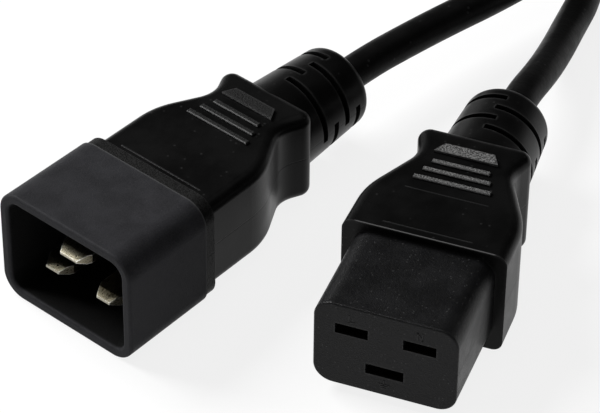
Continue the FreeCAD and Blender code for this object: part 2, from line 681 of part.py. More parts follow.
def shroud():
    """The hard cup round the pins, its floor and the insert behind it."""
    body = new_body("c20_shroud")
    outside = new_sketch(body, "XZ_Plane", "CupSection")
    draw_rounded(outside, "shroud_width", "shroud_height", "shroud_round")
    cup = pad(body, outside, "Cup", "shroud_length", reverse=True)
    cup.setExpression("TaperAngle", link("-atan(shroud_draft / shroud_length)"))
    doc.recompute()
    inside = new_sketch(body, "XZ_Plane", "RecessSection")
    draw_rounded(inside, "shroud_width - 2 * shroud_wall", "shroud_height - 2 * shroud_wall",
                 "shroud_round - shroud_wall")
    recess = pocket(body, inside, "Recess", "recess_depth")
    fillet(body, recess, "Rim", "shroud_edge", lambda edge: edge.BoundBox.YMax < 0.01)
    tail = new_sketch(body, "XZ_Plane", "InsertSection", "-(shroud_length - 0.5)")
    draw_rectangle(tail, "-insert_width / 2", "insert_width / 2",
                   "-insert_height / 2", "insert_height / 2")
    pad(body, tail, "Insert", "insert_tail + 0.5", reverse=True)
    doc.recompute()
    holes = new_sketch(body, "XZ_Plane", "PinHoles", "-recess_depth")
    for pole in POLES:
        pin = "earth_pin_width" if pole == "earth" else "line_pin_width"
        across, up = f"{POLES[pole][0]} * pin_pitch / 2", f"{-POLES[pole][1]} * pin_row"
        draw_rectangle(holes, f"{across} - {pin} / 2 - fit_gap", f"{across} + {pin} / 2 + fit_gap",
                       f"{up} - pin_thick / 2 - fit_gap", f"{up} + pin_thick / 2 + fit_gap")
    pocket(body, holes, "PinSeats", "shroud_length + insert_tail")
    wells = new_sketch(body, "XZ_Plane", "BarrelWells", f"-({ENDS['c20']['barrel']})")
    for pole in POLES:
        draw_circle(wells, "barrel_diameter + 2 * fit_gap", f"{POLES[pole][0]} * pin_pitch / 2",
                    f"{-POLES[pole][1]} * pin_row")
    pocket(body, wells, "BarrelSeats", "insert_tail")
    body.Placement = C20_PLACE
    return body


def pin(pole):
    """A flat brass pin that leans in on all four sides at its tip, with its crimp barrel."""
    body = new_body(f"c20_{pole}_pin")
    wide = "earth_pin_width" if pole == "earth" else "line_pin_width"
    tip = "earth_tip" if pole == "earth" else "line_tip"
    side = [(tip, "tip_edge / 2"), (f"{tip} + tip_slope", "pin_thick / 2"),
            (ENDS["c20"]["barrel"], "pin_thick / 2")]
    profile = new_sketch(body, "YZ_Plane", "PinSide")
    draw_polygon(profile, side + [(along, f"-({up})") for along, up in reversed(side)])
    pad(body, profile, "Blade", wide, both=True)
    doc.recompute()
    corners = new_sketch(body, "XY_Plane", "PinCorners")
    for way in (1, -1):
        draw_polygon(corners, [(f"{way} * ({wide} / 2 + ({across}) * tip_taper)",
                                f"{tip} + ({along}) * tip_length")
                               for across, along in ((-1.5, -0.5), (1, 2), (1, -0.5))])
    pocket(body, corners, "Taper", "2 * pin_thick", both=True)
    add_barrel(body, ENDS["c20"]["barrel"])
    body.Placement = pole_place("c20", pole)
    return body


# ---------------------------------------------------------------------------------------------
# Cord: a lead out of each boot, the coil between them and its tie
# ---------------------------------------------------------------------------------------------

LIE = size("cord_diameter") / 2
BOOT_END_19, CLEAR_OF_19 = [C19_PLACE.multVec(Vector(0, C19_TOTAL + out, 0))
                            for out in (0, size("exit_run"))]
BOOT_END_20, CLEAR_OF_20 = [C20_PLACE.multVec(Vector(0, C20_TOTAL + out, 0))
                            for out in (0, size("exit_run"))]
COIL = Vector(size("coil_across"), size("coil_along") - C19_TOTAL / 2, 0)
OUTER_LAY = size("coil_radius") + size("cord_diameter")


def coil_spot(angle, height, out=0):
    """A spot on the outer turn, or out from it along the tangent, against the way of winding."""
    turn = Rotation(Vector(0, 0, 1), angle)
    return COIL + turn.multVec(Vector(OUTER_LAY, out, 0)) + Vector(0, 0, height)


ON_TOP = size("coil_height") - LIE

C19_ROUTE = [BOOT_END_19, CLEAR_OF_19] + [Vector(*spot) for spot in (
    (0.9, 56.0, 9.3), (0.6, 67.8, 6.5), (0.0, 79.1, 4.4), (0.0, 92.6, LIE),
    (-4.4, 105.5, LIE), (-12.8, 116.2, LIE))] + [
    coil_spot(size("coil_entry"), LIE, size("coil_run")), coil_spot(size("coil_entry"), LIE)]

C20_ROUTE = [BOOT_END_20, CLEAR_OF_20] + [Vector(*spot) for spot in (
    (-27.0, 52.6, 12.0), (-21.4, 63.8, 11.4), (-14.7, 75.2, 11.2), (-5.9, 92.4, 11.2),
    (-0.2, 104.8, 11.2), (6.2, 118.6, 10.8), (12.4, 132.6, ON_TOP))] + [
    coil_spot(size("coil_exit"), ON_TOP, -size("coil_run")), coil_spot(size("coil_exit"), ON_TOP)]


def lead(label, route):
    solid, length, tightest = tube(route, size("cord_diameter"))
    print(f"{label}: {length:.1f} mm, tightest radius {tightest:.1f} mm")
    return feature_from(label, solid, Placement()), length


def coil_tie():
    """A flat strap round the bundle, away from the leads."""
    body = new_body("coil_tie")
    section = new_sketch(body, "XZ_Plane", "StrapSection")
    rise = "coil_height / 2"
    draw_rounded(section, "coil_width", "coil_height", "tie_round", rise=rise)
    draw_rounded(section, "coil_width - 2 * tie_thick", "coil_height - 2 * tie_thick",
                 "tie_round - tie_thick", rise=rise)
    pad(body, section, "Strap", "tie_width", both=True)
    body.Placement = Placement(COIL - Vector(size("coil_radius"), 0, 0), Rotation())
    return body


def cord_coil():
    """The outer shape of the coiled cord, stepped where each lead joins and waisted at the tie."""
    ring = doc.addObject("PartDesign::Body", "coil_ring")
    section = new_sketch(ring, "XZ_Plane", "BundleSection")
    inner, outer = "coil_radius - coil_width / 2", "coil_radius + coil_width / 2"
    draw_polygon(section, [(f"{inner} + coil_bevel", "0"), (f"{outer} - coil_bevel", "0"),
                           (outer, "coil_bevel"), (outer, "coil_height - coil_bevel"),
                           (f"{outer} - coil_bevel", "coil_height"),
                           (f"{inner} + coil_bevel", "coil_height"),
                           (inner, "coil_height - coil_bevel"), (inner, "coil_bevel")])
    turn = ring.newObject("PartDesign::Revolution", "Turns")
    turn.Profile = section
    turn.ReferenceAxis = (section, ["V_Axis"])
    turn.Angle = 360
    doc.recompute()
    shape = ring.Shape.copy()
    clear = size("fit_gap")
    inside = OUTER_LAY - LIE - clear
    tall = size("cord_diameter") + clear
    for angle, side, bottom in ((size("coil_entry"), 0, -1),
                                (size("coil_exit"), -OUTER_LAY, size("coil_height") - tall)):
        step = Part.makeBox(size("coil_width"), OUTER_LAY, tall + 1, Vector(inside, side, bottom))
        step.rotate(Vector(), Vector(0, 0, 1), angle)
        shape = shape.cut(step)
    wide = size("coil_width") - 2 * size("tie_thick") - 2 * clear
    high = size("coil_height") - 2 * size("tie_thick") - 2 * clear
    span = size("tie_width") + 2 * clear
    around = Part.makeBox(2 * size("coil_width"), span, 2 * size("coil_height"),
                          Vector(-size("coil_radius") - size("coil_width"), -span / 2,
                                 -size("coil_height") / 2))
    core = Part.makeBox(wide, span, high, Vector(-size("coil_radius") - wide / 2, -span / 2,
                                                 size("tie_thick") + clear))
    rounding = size("tie_round") - size("tie_thick") - clear
    long_edges = [edge for edge in core.Edges if edge.BoundBox.YLength > span / 2]
    shape = shape.cut(around.cut(core.makeFillet(rounding, long_edges)))
    return feature_from("cord_coil", shape, Placement(COIL, Rotation()))


# ---------------------------------------------------------------------------------------------
# Build every piece, check it and write it
# ---------------------------------------------------------------------------------------------

pieces = [contact_carrier(), carrier_cover(), shroud()]
for pole_name in POLES:
    pieces.append(spring_contact(pole_name))
    pieces.append(pin(pole_name))
for end_name in ENDS:
    pieces.append(overmould(end_name))
    pieces.append(inner_mould(end_name))
    pieces.append(jacket_end(end_name))
    pieces.extend(wires(end_name))
first_lead, first_length = lead("c19_lead", C19_ROUTE)
second_lead, second_length = lead("c20_lead", C20_ROUTE)
pieces.extend([first_lead, second_lead, cord_coil(), coil_tie()])
doc.recompute()

for item in doc.Objects:
    if "Invalid" in item.State or "Error" in item.State:
        raise RuntimeError(f"{item.Label} did not compute: {item.State}")
for piece in pieces:
    if piece.Shape.isNull() or not piece.Shape.isValid() or len(piece.Shape.Solids) != 1:
        raise RuntimeError(f"{piece.Label} is not one valid solid")

os.makedirs("parts", exist_ok=True)
for piece in pieces:
    piece.Shape.exportStep(f"parts/{piece.Label}.step")
    box = piece.Shape.BoundBox
    print(f"{piece.Label}: {piece.Shape.Volume:.0f} mm3, x {box.XMin:.1f} {box.XMax:.1f}, "
          f"y {box.YMin:.1f} {box.YMax:.1f}, z {box.ZMin:.2f} {box.ZMax:.2f}")
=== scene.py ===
# %% [markdown]
# # A moulded socket connector on its mains cord
# The part is a mains cord set from a data centre rack: a three-slot socket at one end, a
# shrouded three-pin plug at the other, and a round black cord between them. Its hard parts
# arrive as a finished CAD model, so this lesson does not model them again. It gives each of
# them its finish, winds the free cord, ties it with a strap, and sets up a small studio.

# %% Load the fixed parts
import math

import bmesh
import bpy
from mathutils import Matrix, Vector


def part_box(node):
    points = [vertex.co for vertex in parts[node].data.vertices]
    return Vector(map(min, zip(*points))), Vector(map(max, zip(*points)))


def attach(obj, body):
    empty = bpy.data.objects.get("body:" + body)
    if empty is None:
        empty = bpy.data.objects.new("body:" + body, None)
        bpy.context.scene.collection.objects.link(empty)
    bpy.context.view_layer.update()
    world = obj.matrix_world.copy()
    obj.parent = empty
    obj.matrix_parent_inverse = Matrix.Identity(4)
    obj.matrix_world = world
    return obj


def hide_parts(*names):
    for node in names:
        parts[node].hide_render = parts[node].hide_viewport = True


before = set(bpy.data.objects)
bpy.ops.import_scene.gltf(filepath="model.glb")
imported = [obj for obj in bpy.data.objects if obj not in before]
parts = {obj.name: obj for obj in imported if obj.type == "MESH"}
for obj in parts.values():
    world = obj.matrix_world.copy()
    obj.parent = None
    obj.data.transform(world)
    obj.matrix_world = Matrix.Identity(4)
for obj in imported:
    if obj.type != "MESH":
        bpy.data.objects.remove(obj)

MM = 0.001
scene = bpy.context.scene
scene.view_settings.view_transform = "Standard"
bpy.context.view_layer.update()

# %% [markdown]
# ## Where things are
# Everything sits in one frame: the middle of the socket stands on zero, its mating face looks
# along -Y and the table is z = 0. The plug lies beside it, turned a little about the vertical.
# The socket's places are read from its own boxes. The plug is turned, so its box says little,
# and its rim's middle and its turn are written here once.

# %% Places that later cells use
nose_low, nose_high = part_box("c19_contact_carrier")
face_y = nose_low.y / MM                          # mating face of the socket
socket_mid = (nose_low.z + nose_high.z) / 2 / MM  # its middle height
plug_rim = Vector((-61.9, -38.5, 12.5))           # middle of the plug's rim
plug_turn = math.radians(-20.4)
print(f"mating face at y {face_y:.1f} mm, socket middle at z {socket_mid:.2f} mm")

# %% [markdown]
# ## The camera
# Things as small as a fist look best from well away through a long lens, because near and far
# ends then keep about the same size. The camera is aimed at a point between the two ends. Its
# place could be three coordinates, but an angle round the object, an angle above the table and
# a distance are easier to reason about.

# %% Aim the camera
def look_from(around, above, roll):
    """The camera's right, up and backward directions for angles in degrees."""
    around, above, roll = (math.radians(angle) for angle in (around, above, roll))
    back = Vector((math.sin(around) * math.cos(above), -math.cos(around) * math.cos(above),
                   math.sin(above)))
    right = Vector((0, 0, 1)).cross(back).normalized()
    up = back.cross(right)
    return (math.cos(roll) * right + math.sin(roll) * up,
            math.cos(roll) * up - math.sin(roll) * right, back)


aim = Vector((-28.3, -4.5, 13.0)) * MM
camera_far = 616.1 * MM
right, up, back = look_from(around=20.1, above=40.25, roll=0.67)
lens = bpy.data.cameras.new("studio_lens")
lens.lens = 195.5
lens.sensor_width = 36
camera = bpy.data.objects.new("studio_camera", lens)
camera.matrix_world = Matrix.Translation(aim + back * camera_far) @ Matrix(
    (right, up, back)).transposed().to_4x4()
scene.collection.objects.link(camera)
scene.camera = camera
print("camera at", [round(number, 3) for number in camera.location])

# %% [markdown]
# ## The cord's road
# A mains cord is a fixed length of something springy. The socket's end leaves its boot
# straight, sinks to the table over a few centimetres and turns off in a wide curve. The plug's
# end is carried a cord's width higher and rests on it where the two cross. What is left over is
# wound into a neat round coil, as it is when the set is put away. The line is drawn with a few
# given points that a smooth spline rounds off, because points copied from arcs look like
# bent wire.

# %% Given points, in millimetres
lie = 3.5                                         # cord centre above the table
socket_end = (0, 36.5, 11.45)
socket_lead = [socket_end, (0, 44.5, 11.45), (0.9, 56.0, 9.3), (0.6, 67.8, 6.5),
               (0.0, 79.1, 4.4), (0.0, 92.6, lie), (-4.4, 105.5, lie), (-12.8, 116.2, lie),
               (-24.2, 123.6, lie)]
plug_end = (-34.82, 34.33, 12.5)
plug_lead = [plug_end, (-32.03, 41.83, 12.5), (-27.0, 52.6, 12.0), (-21.4, 63.8, 11.4),
             (-14.7, 75.2, 11.2), (-5.9, 92.4, 11.2), (-0.2, 104.8, 11.2), (6.2, 118.6, 10.8),
             (12.4, 132.6, 10.7), (15.9, 147.2, 10.7)]
print(len(socket_lead), "points on the socket's lead,", len(plug_lead), "on the plug's")

# %% [markdown]
# ## Winding the coil
# The coil is three turns wide and two high. A person lays the first turn outside, works inward
# on the table, climbs, and works outward again on top, so the last turn is the outer one of the
# top layer. Every turn changes its place on the same stretch, on the side where the leads come
# in and away from the tie. A hundred points could be placed by hand, but a loop keeps each turn
# one cord's width from the next.

# %% Places in the bundle
gap = 7.1                                         # one turn to the next
coil_middle = (-26.0, 172.5)
middle_ring = 40.0
seats = [(middle_ring + gap * across, lie + gap * high) for across, high in
         ((1, 0), (0, 0), (-1, 0), (-1, 1), (0, 1), (1, 1))]
change_from, change_to = 0.72, 1.03               # in turns, where each seat is left
climb_at = 2 + (change_from + change_to) / 2      # in turns, where the upper layer begins
climb_reach, climb_inward = 0.36, 1.6             # turns either way, and half of the pull in
strap_room = 1.0                                  # lifts the bundle over the strap's underside
enter_at, leave_at = 256.0, -15.0                 # degrees round the coil, wound clockwise
turns = 5 + (enter_at - leave_at) / 360
points_a_turn = 20
print("seats (radius, height):", [(round(r, 1), round(h, 1)) for r, h in seats])


# %% One point of the coil
def ease(share):
    """A soft start and a soft stop for a share from 0 to 1."""
    share = min(max(share, 0.0), 1.0)
    return share * share * (3 - 2 * share)


def coil_point(turn):
    """Where the cord is after so many turns, counted from where its lead joins the coil."""
    seat = min(max(math.floor(turn + 1 - change_to), 0), len(seats) - 1)
    share = ease((turn - seat - change_from) / (change_to - change_from))
    (ring_a, high_a), (ring_b, high_b) = seats[seat], seats[min(seat + 1, len(seats) - 1)]
    from_climb = min(abs(turn - climb_at) / climb_reach, 1.0)
    inward = climb_inward * (1 + math.cos(math.pi * from_climb))
    ring = (ring_a + (ring_b - ring_a) * share - inward) / math.cos(math.pi / points_a_turn)
    angle = math.radians(enter_at - 360 * turn)
    off_strap = abs(math.remainder(angle - math.pi, 2 * math.pi))
    return (coil_middle[0] + ring * math.cos(angle), coil_middle[1] + ring * math.sin(angle),
            high_a + (high_b - high_a) * share + strap_room * (1 - ease(off_strap)))


steps = round(turns * points_a_turn)
winding = [coil_point(turns * step / steps) for step in range(steps + 1)]
route = socket_lead + winding + plug_lead[::-1]
print(len(winding), "points in the coil,", len(route), "in all")

# %% [markdown]
# ## The cord itself
# A curve object with a round bevel is the natural way to make a cord: the line stays editable
# and the thickness is one number. The bevel is one metre and each point's own radius brings it
# down to the cord's, because Blender adds that radius to the box of a curve, and a point that
# is left at one makes the box metres wide. The spline's order and end settings go in after its
# points, because Blender works them out from the number of points.

# %% Draw the cord
def smooth_line(name, points, radius):
    """A round tube along one smooth open spline through the neighbourhood of the points."""
    line = bpy.data.curves.new(name, "CURVE")
    line.dimensions = "3D"
    spline = line.splines.new("NURBS")
    spline.points.add(len(points) - 1)
    for point, place in zip(spline.points, points):
        point.co = (place[0] * MM, place[1] * MM, place[2] * MM, 1)
        point.radius = radius * MM
    spline.order_u = 3
    spline.use_endpoint_u = True
    line.resolution_u = 8
    line.bevel_depth = 1.0
    line.bevel_resolution = 6
    line.use_fill_caps = True
    made = bpy.data.objects.new(name, line)
    scene.collection.objects.link(made)
    return made


cord_width = 7.0
cord = smooth_line("mains_cord", route, cord_width / 2)
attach(cord, "root")
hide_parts("c19_lead", "c20_lead", "cord_coil")
print("cord drawn through", len(route), "points")

# %% [markdown]
# ## The strap round the coil
# A hook and loop strap holds the coil. It is a flat band that goes once round the bundle and
# laps over its own start, so it is drawn as a strip that follows a rounded rectangle and rises
# by its own thickness where it laps. A plain ring would look like a metal clamp.

# %% Walk round the bundle
strap_thick, strap_wide, strap_round = 0.85, 12.0, 3.6
strap_lap, strap_start = 15.0, -9.0               # overlap, and start from the middle of the top
bundle_half = (gap + cord_width / 2 + 0.1, gap / 2 + cord_width / 2 + 0.1)
bundle_centre = (coil_middle[0] - middle_ring, lie + gap / 2 + strap_room)


def round_the_bundle(way, out):
    """Point and outward direction after some millimetres of way, from the middle of the top."""
    flat_x, flat_z = bundle_half[0] - strap_round, bundle_half[1] - strap_round
    bend = strap_round * math.pi / 2
    legs = [("run", flat_x, 0), ("bend", bend, 0), ("run", 2 * flat_z, 1), ("bend", bend, 1),
            ("run", 2 * flat_x, 2), ("bend", bend, 2), ("run", 2 * flat_z, 3),
            ("bend", bend, 3), ("run", flat_x, 0)]
    way %= sum(length for _, length, _ in legs)
    corners = [(flat_x, flat_z), (flat_x, -flat_z), (-flat_x, -flat_z), (-flat_x, flat_z)]
    at = [0.0, flat_z]
    for kind, length, side in legs:
        heading = (math.cos(side * math.pi / 2), -math.sin(side * math.pi / 2))
        normal = (-heading[1], heading[0])
        if kind == "run":
            step = min(way, length)
            at = [at[0] + heading[0] * step, at[1] + heading[1] * step]
        else:
            turned = min(way, length) / strap_round
            normal = (normal[0] * math.cos(turned) + heading[0] * math.sin(turned),
                      normal[1] * math.cos(turned) + heading[1] * math.sin(turned))
            at = list(corners[side])
        if way <= length:
            return (at[0] + normal[0] * (strap_round + out),
                    at[1] + normal[1] * (strap_round + out), normal)
        way -= length
    return at[0], at[1] + strap_round + out, (0.0, 1.0)


print("strap starts at", [round(number, 2) for number in round_the_bundle(0, 0)[:2]])


# %% Build the strap
def strap_mesh(name, start, whole, lap):
    """A flat strip from start, once round and over itself by lap millimetres."""
    mesh = bmesh.new()
    rings = []
    steps = 150
    rise, free_end, tip = 4.0, 5.0, 2.5           # lengths that climb, lift off and narrow
    for number in range(steps + 1):
        way = (whole + lap) * number / steps
        to_end = whole + lap - way
        over = ease(1 - (whole - way) / rise)
        lifted = 0.5 * ease(1 - to_end / free_end)
        x, z, normal = round_the_bundle(start + way, strap_thick * (0.5 + over) + lifted)
        half = strap_wide / 2 * (1 - 0.35 * ease(1 - to_end / tip) ** 3)
        ring = []
        for side, level in ((-1, -0.5), (1, -0.5), (1, 0.5), (-1, 0.5)):
            ring.append(mesh.verts.new((
                (bundle_centre[0] + x + normal[0] * level * strap_thick) * MM,
                (coil_middle[1] + side * half) * MM,
                (bundle_centre[1] + z + normal[1] * level * strap_thick) * MM)))
        if rings:
            for a in range(4):
                mesh.faces.new((rings[-1][a], rings[-1][(a + 1) % 4], ring[(a + 1) % 4],
                                ring[a]))
        rings.append(ring)
    mesh.faces.new(rings[0][::-1])
    mesh.faces.new(rings[-1])
    bmesh.ops.recalc_face_normals(mesh, faces=mesh.faces)
    data = bpy.data.meshes.new(name)
    mesh.to_mesh(data)
    mesh.free()
    return data


around_bundle = (4 * (bundle_half[0] + bundle_half[1] - 2 * strap_round)
                 + 2 * math.pi * strap_round)
strap = bpy.data.objects.new("coil_strap", strap_mesh("coil_strap", strap_start, around_bundle,
                                                      strap_lap))
scene.collection.objects.link(strap)
rounding = strap.modifiers.new("soft_edges", "BEVEL")
rounding.width, rounding.segments = 0.2 * MM, 2
rounding.limit_method = "ANGLE"
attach(strap, "root")
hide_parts("coil_tie")
print(f"strap: {around_bundle:.1f} mm round the bundle, laps {strap_lap:.0f} mm")

# %% [markdown]

# %% [markdown]
# ## Marks on the mating face
# Such a socket says which slot is which: an L, an N, and the sign for earth, low bars moulded on
# the face. They are general signs and name nobody. They could be painted with nodes, but real
# bars, a few hundredths of a millimetre proud, catch the light as the moulded ones do.

# %% Small raised bars
bar_half, bar_root, bar_proud = 0.11, 0.05, 0.07  # half width, depth in the face, height on it


def bars(name, strokes, middle):
    """Raised bars on the mating face; each stroke is two end points in millimetres."""
    mesh = bmesh.new()
    for (ax, az), (bx, bz) in strokes:
        along = Vector((bx - ax, bz - az)).normalized() * bar_half
        across = Vector((-along.y, along.x))
        ends = (Vector((ax, az)) - along, Vector((bx, bz)) + along)
        corners = [ends[0] - across, ends[1] - across, ends[1] + across, ends[0] + across]
        low, high = ([mesh.verts.new(((middle[0] + c.x) * MM, (face_y + depth) * MM,
                                      (middle[1] + c.y) * MM)) for c in corners]
                     for depth in (bar_root, -bar_proud))
        mesh.faces.new(low)
        mesh.faces.new(high[::-1])
        for a in range(4):
            mesh.faces.new((low[a], high[a], high[(a + 1) % 4], low[(a + 1) % 4]))
    bmesh.ops.recalc_face_normals(mesh, faces=mesh.faces)
    data = bpy.data.meshes.new(name)
    mesh.to_mesh(data)
    mesh.free()
    made = bpy.data.objects.new(name, data)
    scene.collection.objects.link(made)
    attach(made, "root")
    return made


line_mark = bars("mark_line", [((-0.45, 0.75), (-0.45, -0.75)), ((-0.45, -0.75), (0.5, -0.75))],
                 (-6.5, socket_mid + 6.9))
neutral_mark = bars("mark_neutral", [((-0.5, -0.75), (-0.5, 0.75)), ((-0.5, 0.75), (0.5, -0.75)),
                                     ((0.5, -0.75), (0.5, 0.75))], (6.5, socket_mid + 6.9))
earth_mark = bars("mark_earth", [((0.0, 1.0), (0.0, 0.1)), ((-0.9, 0.1), (0.9, 0.1)),
                                 ((-0.55, -0.35), (0.55, -0.35)), ((-0.2, -0.8), (0.2, -0.8))],
                  (0.0, socket_mid - 7.0))
print("marks:", line_mark.name, neutral_mark.name, earth_mark.name)

# %% [markdown]
# ## Tools for finishes
# A finish is a small graph of nodes. These helpers place one node, set or wire its sockets and
# hand back its output, so that the cells below read like a list of what happens on the surface.

# %% Node helpers
def put(tree, kind, sockets=None, **settings):
    """One node, with its sockets set to values or wired to other outputs."""
    made = tree.nodes.new(kind)
    for name, value in settings.items():
        setattr(made, name, value)
    for name, value in (sockets or {}).items():
        if isinstance(value, bpy.types.NodeSocket):
            tree.links.new(value, made.inputs[name])
        else:
            made.inputs[name].default_value = value
    return made


def calc(tree, operation, *values):
    """One sum, product or comparison of numbers or outputs."""
    return put(tree, "ShaderNodeMath", dict(enumerate(values)), operation=operation).outputs[0]


def slope(tree, value, low, high, first=0.0, last=1.0):
    """Runs smoothly from first to last while value goes from low to high."""
    return put(tree, "ShaderNodeMapRange",
               {"Value": value, "From Min": low, "From Max": high, "To Min": first,
                "To Max": last}, interpolation_type="SMOOTHSTEP").outputs["Result"]


def tint(tree, share, first, second):
    """First colour where share is 0, second where it is 1."""
    return put(tree, "ShaderNodeMix", {0: share, 6: first, 7: second},
               data_type="RGBA").outputs[2]


def grey(level, warm=0.0):
    """A grey; warm takes some blue out of it, and a negative value adds some."""
    return (level, level, level * (1 - warm), 1.0)


print("helpers ready: put, calc, slope, tint, grey")


# %% Frames for groups and materials
def shader_group(title, inputs, outputs):
    """An empty node group with named sockets, its input node and its output node."""
    group = bpy.data.node_groups.new(title, "ShaderNodeTree")
    for name, kind, start in inputs:
        socket = group.interface.new_socket(name, in_out="INPUT", socket_type=kind)
        if start is not None:
            socket.default_value = start
    for name, kind in outputs:
        group.interface.new_socket(name, in_out="OUTPUT", socket_type=kind)
    return group, group.nodes.new("NodeGroupInput"), group.nodes.new("NodeGroupOutput")


def use(tree, group, **sockets):
    """Places a group in a tree; underscores in socket names stand for spaces."""
    made = put(tree, "ShaderNodeGroup", node_tree=group)
    for name, value in sockets.items():
        socket = made.inputs[name.replace("_", " ")]
        if isinstance(value, bpy.types.NodeSocket):
            tree.links.new(value, socket)
        else:
            socket.default_value = value
    return made.outputs


def new_finish(title, **fixed):
    """A material with one Principled shader; fixed are its constant sockets."""
    made = bpy.data.materials.new(title)
    made.use_nodes = True
    shader = made.node_tree.nodes["Principled BSDF"]
    for name, value in fixed.items():
        shader.inputs[name.replace("_", " ")].default_value = value
    return made, made.node_tree, shader


FLOAT, VECTOR = "NodeSocketFloat", "NodeSocketVector"
print("frames ready: shader_group, use, new_finish")

# %% [markdown]
# ## Surface effects that several finishes share
# Moulded plastics have the same few things in common: a spark eroded grain, pale specks of
# dust and filler, outer edges, which the finishes paint paler as wear and as highlight, seams
# where the halves of the mould met, and fine lines round its inserts, which also serve for a
# painted highlight along an edge. They could be drawn anew in each finish, but a group is
# built once and takes its sizes as inputs. All of them work in millimetres measured from the
# part's own middle, so that a turned plug gets the same marks as a straight socket.

# %% Group: place on the part
place_group, given, out = shader_group(
    "place_on_part", [("Origin", VECTOR, None), ("Angle", FLOAT, 0.0)],
    [("Place", VECTOR), ("Facing", VECTOR)])
tree = place_group
shifted = put(tree, "ShaderNodeVectorMath", {0: put(tree, "ShaderNodeTexCoord").outputs["Object"],
                                             1: given.outputs["Origin"]}, operation="SUBTRACT")
turned = put(tree, "ShaderNodeVectorRotate", {"Vector": shifted.outputs[0],
                                              "Angle": given.outputs["Angle"]},
             rotation_type="Z_AXIS")
grown = put(tree, "ShaderNodeVectorMath", {0: turned.outputs[0]}, operation="SCALE")
grown.inputs["Scale"].default_value = 1 / MM
facing = put(tree, "ShaderNodeVectorRotate",
             {"Vector": put(tree, "ShaderNodeNewGeometry").outputs["Normal"],
              "Angle": given.outputs["Angle"]}, rotation_type="Z_AXIS")
tree.links.new(grown.outputs[0], out.inputs["Place"])
tree.links.new(facing.outputs[0], out.inputs["Facing"])
print("group", place_group.name)

# %% Group: moulded grain
grain_group, given, out = shader_group(
    "moulded_grain", [("Place", VECTOR, None), ("Size", FLOAT, 0.35)], [("Grain", FLOAT)])
tree = grain_group
per_mm = calc(tree, "DIVIDE", 1.0, given.outputs["Size"])
fine = put(tree, "ShaderNodeTexNoise", {"Vector": given.outputs["Place"], "Scale": per_mm,
                                        "Detail": 3.0, "Roughness": 0.6})
tree.links.new(slope(tree, fine.outputs[0], 0.3, 0.7), out.inputs["Grain"])
print("group", grain_group.name)

# %% Group: pale specks
speck_group, given, out = shader_group(
    "pale_specks", [("Place", VECTOR, None), ("Pitch", FLOAT, 1.0), ("Share", FLOAT, 0.3)],
    [("Specks", FLOAT)])
tree = speck_group
cells = put(tree, "ShaderNodeTexVoronoi",
            {"Vector": given.outputs["Place"],
             "Scale": calc(tree, "DIVIDE", 1.0, given.outputs["Pitch"])})
dots = slope(tree, cells.outputs["Distance"], 0.22, 0.10)
chance = put(tree, "ShaderNodeSeparateColor", {"Color": cells.outputs["Color"]}).outputs[0]
tree.links.new(calc(tree, "MULTIPLY", dots, calc(tree, "LESS_THAN", chance,
                                                given.outputs["Share"])), out.inputs["Specks"])
print("group", speck_group.name)

# %% [markdown]
# Edges could be found from how the mesh bends, but a clean CAD mesh has long faces with no
# vertices to measure. A short look inward works on any mesh: near an outer edge the look
# leaves the part again.

# %% Group: outer edges, which the finishes paint as wear and highlight
edge_group, given, out = shader_group("outer_edges", [("Reach", FLOAT, 0.0006)],
                                      [("Outer Edge", FLOAT)])
tree = edge_group
inward = put(tree, "ShaderNodeAmbientOcclusion", {"Distance": given.outputs["Reach"]},
             inside=True, only_local=True, samples=8)
tree.links.new(slope(tree, inward.outputs["AO"], 0.92, 0.55), out.inputs["Outer Edge"])
print("group", edge_group.name)

# %% Group: seam between the mould halves
seam_group, given, out = shader_group(
    "mould_seam", [("Place", VECTOR, None), ("Facing", VECTOR, None), ("Level", FLOAT, 0.0),
                   ("Half Width", FLOAT, 0.12)], [("Seam", FLOAT)])
tree = seam_group
level = put(tree, "ShaderNodeSeparateXYZ", {0: given.outputs["Place"]}).outputs[2]
away = calc(tree, "ABSOLUTE", calc(tree, "SUBTRACT", level, given.outputs["Level"]))
sideways = calc(tree, "ABSOLUTE", put(tree, "ShaderNodeSeparateXYZ",
                                      {0: given.outputs["Facing"]}).outputs[0])
tree.links.new(calc(tree, "MULTIPLY",
                    slope(tree, calc(tree, "DIVIDE", away, given.outputs["Half Width"]), 1.0, 0.4),
                    slope(tree, sideways, 0.35, 0.6)), out.inputs["Seam"])
print("group", seam_group.name)

# %% Group: line across the top, round a mould insert or along an edge
cross_line_group, given, out = shader_group(
    "line_across_top", [("Place", VECTOR, None), ("Facing", VECTOR, None), ("Along", FLOAT, 0.0),
                    ("Reach", FLOAT, 8.0), ("Least Upward", FLOAT, 0.8)], [("Line", FLOAT)])
tree = cross_line_group
split = put(tree, "ShaderNodeSeparateXYZ", {0: given.outputs["Place"]}).outputs
off = calc(tree, "ABSOLUTE", calc(tree, "SUBTRACT", split[1], given.outputs["Along"]))
beside = calc(tree, "SUBTRACT", calc(tree, "ABSOLUTE", split[0]), given.outputs["Reach"])
upward = calc(tree, "SUBTRACT", put(tree, "ShaderNodeSeparateXYZ", {
    0: given.outputs["Facing"]}).outputs[2], given.outputs["Least Upward"])
line = calc(tree, "MULTIPLY", slope(tree, off, 0.17, 0.05), slope(tree, beside, 0.3, -0.3))
tree.links.new(calc(tree, "MULTIPLY", line, slope(tree, upward, 0.0, 0.15)), out.inputs["Line"])
print("group", cross_line_group.name)
